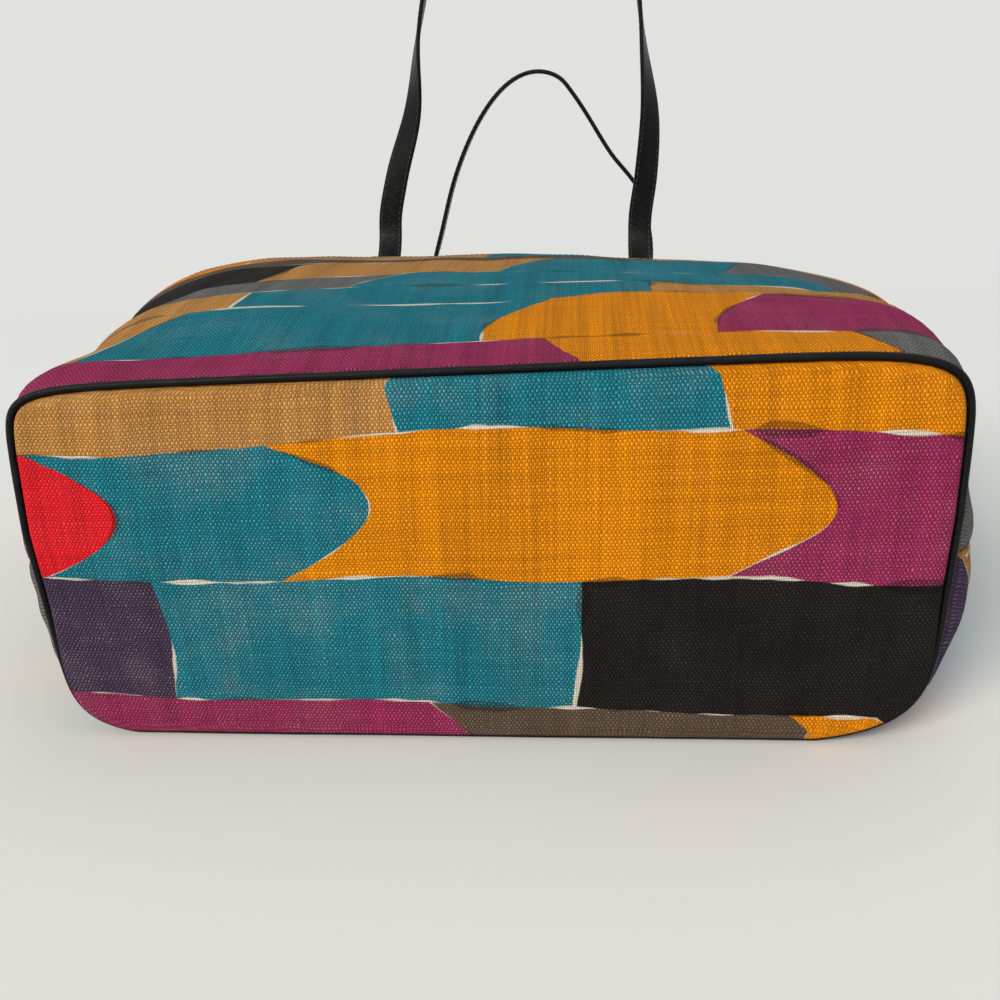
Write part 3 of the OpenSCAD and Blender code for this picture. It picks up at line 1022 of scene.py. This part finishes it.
class TOTE_OT_handles(bpy.types.Operator):
    """Sew the two handle straps inside the hem"""

    bl_idname = "tote.handles"
    bl_label = "Handles"

    TWIST_END = math.radians(34)
    ARCH_POINTS = 69
    SEAT_GAP = 0.3 * MM
    STITCH, EDGE_THREAD_R = 2.4 * MM, 0.3 * MM
    # The stitched box: in from the strap's sides, shorter than its end, below the mouth, off the cloth
    BOX_IN, BOX_SHORT, BOX_DOWN, BOX_PROUD = 2.5 * MM, 8 * MM, 5 * MM, 0.15 * MM
    BOX_POINTS = 12
    # Half of a strap's face, as shares of its half width and half thickness, dipped at the stitches
    SEAM = (0.78, 0.8)
    HALF_FACE = ((1.0, 0.35), (0.97, 0.72), (0.9, 0.86), SEAM, (0.66, 0.9), (0.35, 1.0))
    # How far each soft leg gives to the right, in mm, at shares of its height
    GIVE = {
        "front_strap": (
            ((0, 0), (0.12, 3.0), (0.26, 4.6), (0.45, 1.0), (0.7, 0), (1, 0)),
            ((0, 0), (0.12, 4.0), (0.28, 10.5), (0.47, 6.0), (0.75, 1.0), (1, 0)),
        ),
        "back_strap": (
            (
                (0, 0), (0.3, 6), (0.6, 12), (0.697, 9.5), (0.795, -2), (0.87, -5.5), (0.95, -5),
                (1, -1.5),
            ),
            ((0, 0), (0.3, 3), (0.58, 4.5), (0.75, 0.8), (0.9, -1), (1, -1.5)),
        ),
    }

    def half_route(self, root, leg_y, top, sizes):
        """Half a strap's middle line and width direction, from its sewn end to its arch's top."""
        x, wide = root[0].x, Vector((1, 0, 0))
        slope = math.atan2(root[-1].z - root[-3].z, root[-1].y - root[-3].y)
        run = (leg_y - sizes.bend * (1 - math.sin(slope)) - root[-1].y) / math.cos(slope)
        out = root[-1] + Vector((0, math.cos(slope), math.sin(slope))) * max(run, 0)
        centre = out + Vector((0, -math.sin(slope), math.cos(slope))) * sizes.bend
        route = [(p, wide) for p in root]
        if run > 1 * MM:
            route += [(root[-1].lerp(out, k), wide) for k in (0.35, 0.7, 1.0)]
        for k in np.linspace(0, 1, 17)[1:]:
            a = mix(slope, math.pi / 2, k)
            route.append((centre + Vector((0, math.sin(a), -math.cos(a))) * sizes.bend, wide))
        rise, foot_y = top - centre.z, centre.y + sizes.bend
        for k in np.linspace(0, 1, self.ARCH_POINTS + 1)[1:]:
            a = k * math.pi / 2
            outward = Vector((rise * math.cos(a), 0, x * math.sin(a))).normalized()
            twist = math.pi / 2 * float(ease(a / self.TWIST_END))
            place = Vector((x * math.cos(a), mix(foot_y, leg_y, k), centre.z + rise * math.sin(a)))
            route.append((place, outward * math.cos(twist) + Vector((0, 1, 0)) * math.sin(twist)))
        return route

    def section(self, sizes):
        """Strap section as (across, through): two layers, thinner at the stitched edges."""
        w, t = sizes.width / 2, sizes.thickness / 2
        face = [(-a, b) for a, b in self.HALF_FACE] + [(0.0, 1.0), *reversed(self.HALF_FACE)]
        return [(a * w, b * t) for a, b in face] + [(a * w, -b * t) for a, b in reversed(face)]

    def strap(self, name, node, right, left, sizes):
        """One strap from its right half and its left half, which is drawn on the right as well."""
        route = right + [
            (Vector((-p.x, p.y, p.z)), Vector((-w.x, w.y, w.z))) for p, w in reversed(left[:-1])
        ]
        top, foot = right[-1][0].z, right[-self.ARCH_POINTS - 1][0].z
        for i, (place, _) in enumerate(route):
            share = (place.z - foot) / (top - foot)
            give = self.GIVE[name][0 if i < len(right) else 1]
            place.x += sizes.lean * float(ease(share)) + smooth_through(give, share) * MM
        middle = np.array([p for p, _ in route])
        section = self.section(sizes)
        rings, frames = [], []
        for i, (place, wide) in enumerate(route):
            run = Vector(middle[min(i + 1, len(middle) - 1)] - middle[max(i - 1, 0)]).normalized()
            through = run.cross(wide).normalized()
            across = through.cross(run)
            frames.append((place, across, through))
            rings.append([place + across * a + through * b for a, b in section])
        points = [p for ring in rings for p in ring]
        faces = grid_faces(len(rings), len(section), closed=True, capped=True)
        piece = new_piece(name, points, faces, ["grained_vinyl"])
        dressed(piece, "black_vinyl", node)
        rows = []
        aside, above = self.SEAM[0] * sizes.width / 2, self.SEAM[1] * sizes.thickness / 2
        for edge in (-aside, aside):
            for face in (-1, 1):
                line = np.array([p + a * edge + t * face * above for p, a, t in frames])
                normal = np.array([t * face for _, _, t in frames])
                rows += stitch_line(line, normal, sizes.stitch)
        stitches(f"{name}_stitches", rows, self.STITCH, self.EDGE_THREAD_R, "black_thread")

    def root(self, x, inside, side, sizes):
        """A sewn strap end, flat against the inside of the hem, drawn on the right."""
        below = sizes.thickness / 2 + self.SEAT_GAP
        points = []
        for y in np.linspace(MOUTH_Y - sizes.sewn, MOUTH_Y, 8):
            seats = [inside(x + k * sizes.width / 2, y) for k in (-1, 0, 1)]
            z = min(seats) - below if side > 0 else max(seats) + below
            points.append(Vector((abs(x), y, z)))
        return points

    def box_stitches(self, x, outside, side, sizes):
        """The rows round a strap end, seen on the outside of the hem."""
        wide, long = sizes.width / 2 - self.BOX_IN, sizes.sewn - self.BOX_SHORT
        corners = [(-wide, 0), (wide, 0), (wide, -long), (-wide, -long), (-wide, 0)]
        rows = []
        for (x0, y0), (x1, y1) in zip(corners, corners[1:]):
            line = []
            for k in np.linspace(0, 1, self.BOX_POINTS):
                at_x, at_y = x + mix(x0, x1, k), MOUTH_Y - self.BOX_DOWN + mix(y0, y1, k)
                line.append((at_x, at_y, outside(at_x, at_y) + side * self.BOX_PROUD))
            normals = np.full((self.BOX_POINTS, 3), (0, 0, side))
            rows += stitch_line(np.array(line), normals, sizes.stitch)
        return rows

    def execute(self, context):
        scene = context.scene
        sizes, form = scene.tote_straps, BodyForm(scene.tote_body)
        for name, low, high, side, seed in (
            ("front", FRONT_STRAP_LOW, FRONT_STRAP_HIGH, 1, FRONT_SEED),
            ("back", BACK_STRAP_LOW, BACK_STRAP_HIGH, -1, BACK_SEED),
        ):
            x = -low.x - sizes.width / 2
            inside, outside = (hem_height(form, side, seed, face) for face in (True, False))
            leg_y, top = high.y - sizes.width / 2, high.z - sizes.thickness / 2
            right, left = (
                self.half_route(self.root(end, inside, side, sizes), leg_y, top, sizes)
                for end in (x, -x)
            )
            self.strap(f"{name}_strap", f"{name}_handle", right, left, sizes)
            rows = [row for end in (x, -x) for row in self.box_stitches(end, outside, side, sizes)]
            stitches(f"{name}_strap_end_stitches", rows, self.STITCH, THREAD_R, "dark_thread")
        return {"FINISHED"}


class TOTE_OT_finishes(bpy.types.Operator):
    """Make the cloth, vinyl, thread and board materials"""

    bl_idname = "tote.finishes"
    bl_label = "Finishes"

    BODY_RUBBED, BASE_RUBBED = 0.55, 1.0

    def execute(self, context):
        colours = context.scene.tote_colours
        printed_canvas(colours, "block_printed_cloth", self.BODY_RUBBED)
        printed_canvas(colours, "rubbed_base_cloth", self.BASE_RUBBED)
        canvas_reverse(colours)
        black_vinyl(colours)
        thread("dark_thread", tuple(colours.charcoal))
        thread("black_thread", (0.02, 0.02, 0.022))
        board_finish()
        return {"FINISHED"}


class TOTE_OT_stage(bpy.types.Operator):
    """Set the pale floor, the studio lights and the camera"""

    bl_idname = "tote.stage"
    bl_label = "Stage"

    LIGHTS = (
        ("key", (-0.6, -1.0, 0.76), 30.0, 2.75, (1.0, 0.955, 0.85)),
        ("top", (0.45, 0.3, 1.2), 50.0, 0.4, (0.86, 0.96, 1.0)),
    )
    PALE = (0.76, 0.757, 0.75, 1)
    SKY, SKY_STRENGTH = (0.84, 0.93, 1.0, 1), 0.42
    FLOOR_TONES = (0.79, 0.77, 0.75), (0.82, 0.80, 0.78)
    FADE_START, FADE_END = 0.6, 2.0
    FLOOR_HALF = 6.0
    SENSOR = 36.0

    def execute(self, context):
        scene = context.scene
        stage = scene.tote_stage
        scene.view_settings.view_transform = "Standard"
        g = new_graph("pale_floor")
        at = g.place()
        tone = g.cloud(at, 2.0, 2.0)
        g.finish(
            {"Base Color": g.blend(*self.FLOOR_TONES, tone)},
            {"Roughness": 0.8, "Specular IOR Level": 0.2},
        )
        x, y, _ = g.split(at)
        far = g.between(x * x + y * y, self.FADE_START**2, self.FADE_END**2)
        g.pale_where_seen(g.node("ShaderNodeEmission", None, {"Color": self.PALE}), far)
        half = self.FLOOR_HALF
        corners = [(-half, -half, 0), (half, -half, 0), (half, half, 0), (-half, half, 0)]
        floor = new_piece("floor", corners, [[0, 1, 2, 3]], ["pale_floor"])

        scene.world = bpy.data.worlds.new("studio")
        g = Graph(scene.world)
        g.finish({}, {"Color": self.SKY, "Strength": self.SKY_STRENGTH})
        g.pale_where_seen(g.node("ShaderNodeBackground", None, {"Color": self.PALE}))

        for name, place, spread, strength, tint in self.LIGHTS:
            lamp = bpy.data.lights.new(name, "SUN")
            lamp.angle = math.radians(spread)
            lamp.energy = strength
            lamp.color = tint
            light = bpy.data.objects.new(name, lamp)
            light.rotation_euler = Vector(place).to_track_quat("Z", "Y").to_euler()
            scene.collection.objects.link(light)

        a, e, r = (math.radians(v) for v in (stage.azimuth, stage.elevation, stage.roll))
        away = Vector((math.sin(a) * math.cos(e), -math.cos(a) * math.cos(e), math.sin(e)))
        eye = Vector((stage.aim_x, BASE_Y, stage.aim_z)) + away * stage.distance
        turn = away.to_track_quat("Z", "Y").to_matrix() @ Matrix.Rotation(r, 3, "Z")
        data = bpy.data.cameras.new("camera")
        data.sensor_width = self.SENSOR
        data.lens = stage.lens
        data.clip_start = 0.01
        camera = bpy.data.objects.new("camera", data)
        camera.matrix_world = Matrix.Translation(eye) @ turn.to_4x4()
        scene.collection.objects.link(camera)
        scene.camera = camera
        return {"FINISHED"}


class TOTE_PT_sidebar(bpy.types.Panel):
    """Lists the pieces and the sizes and colours behind them"""

    bl_idname = "TOTE_PT_sidebar"
    bl_label = "Tote Bag"
    bl_space_type = "VIEW_3D"
    bl_region_type = "UI"
    bl_category = "Tote Bag"

    def draw(self, context):
        for operator in OPERATORS:
            self.layout.operator(operator.bl_idname)
        for key, group in GROUPS.items():
            box = self.layout.box()
            for prop in group.__annotations__:
                box.prop(getattr(context.scene, key), prop)


GROUPS = {
    "tote_body": ToteBodySizes,
    "tote_straps": ToteStrapSizes,
    "tote_colours": ToteColours,
    "tote_stage": ToteStage,
}
OPERATORS = (
    TOTE_OT_finishes, TOTE_OT_piping, TOTE_OT_base, TOTE_OT_body, TOTE_OT_handles, TOTE_OT_stage,
)
CLASSES = (*GROUPS.values(), *OPERATORS, TOTE_PT_sidebar)


def register():
    for made in CLASSES:
        bpy.utils.register_class(made)
    for key, group in GROUPS.items():
        setattr(bpy.types.Scene, key, bpy.props.PointerProperty(type=group))


def unregister():
    for key in GROUPS:
        delattr(bpy.types.Scene, key)
    for made in reversed(CLASSES):
        bpy.utils.unregister_class(made)


def main():
    register()
    bpy.ops.tote.finishes()
    bpy.ops.tote.piping()
    bpy.ops.tote.base()
    bpy.ops.tote.body()
    bpy.ops.tote.handles()
    bpy.ops.tote.stage()


if __name__ == "__main__":
    main()
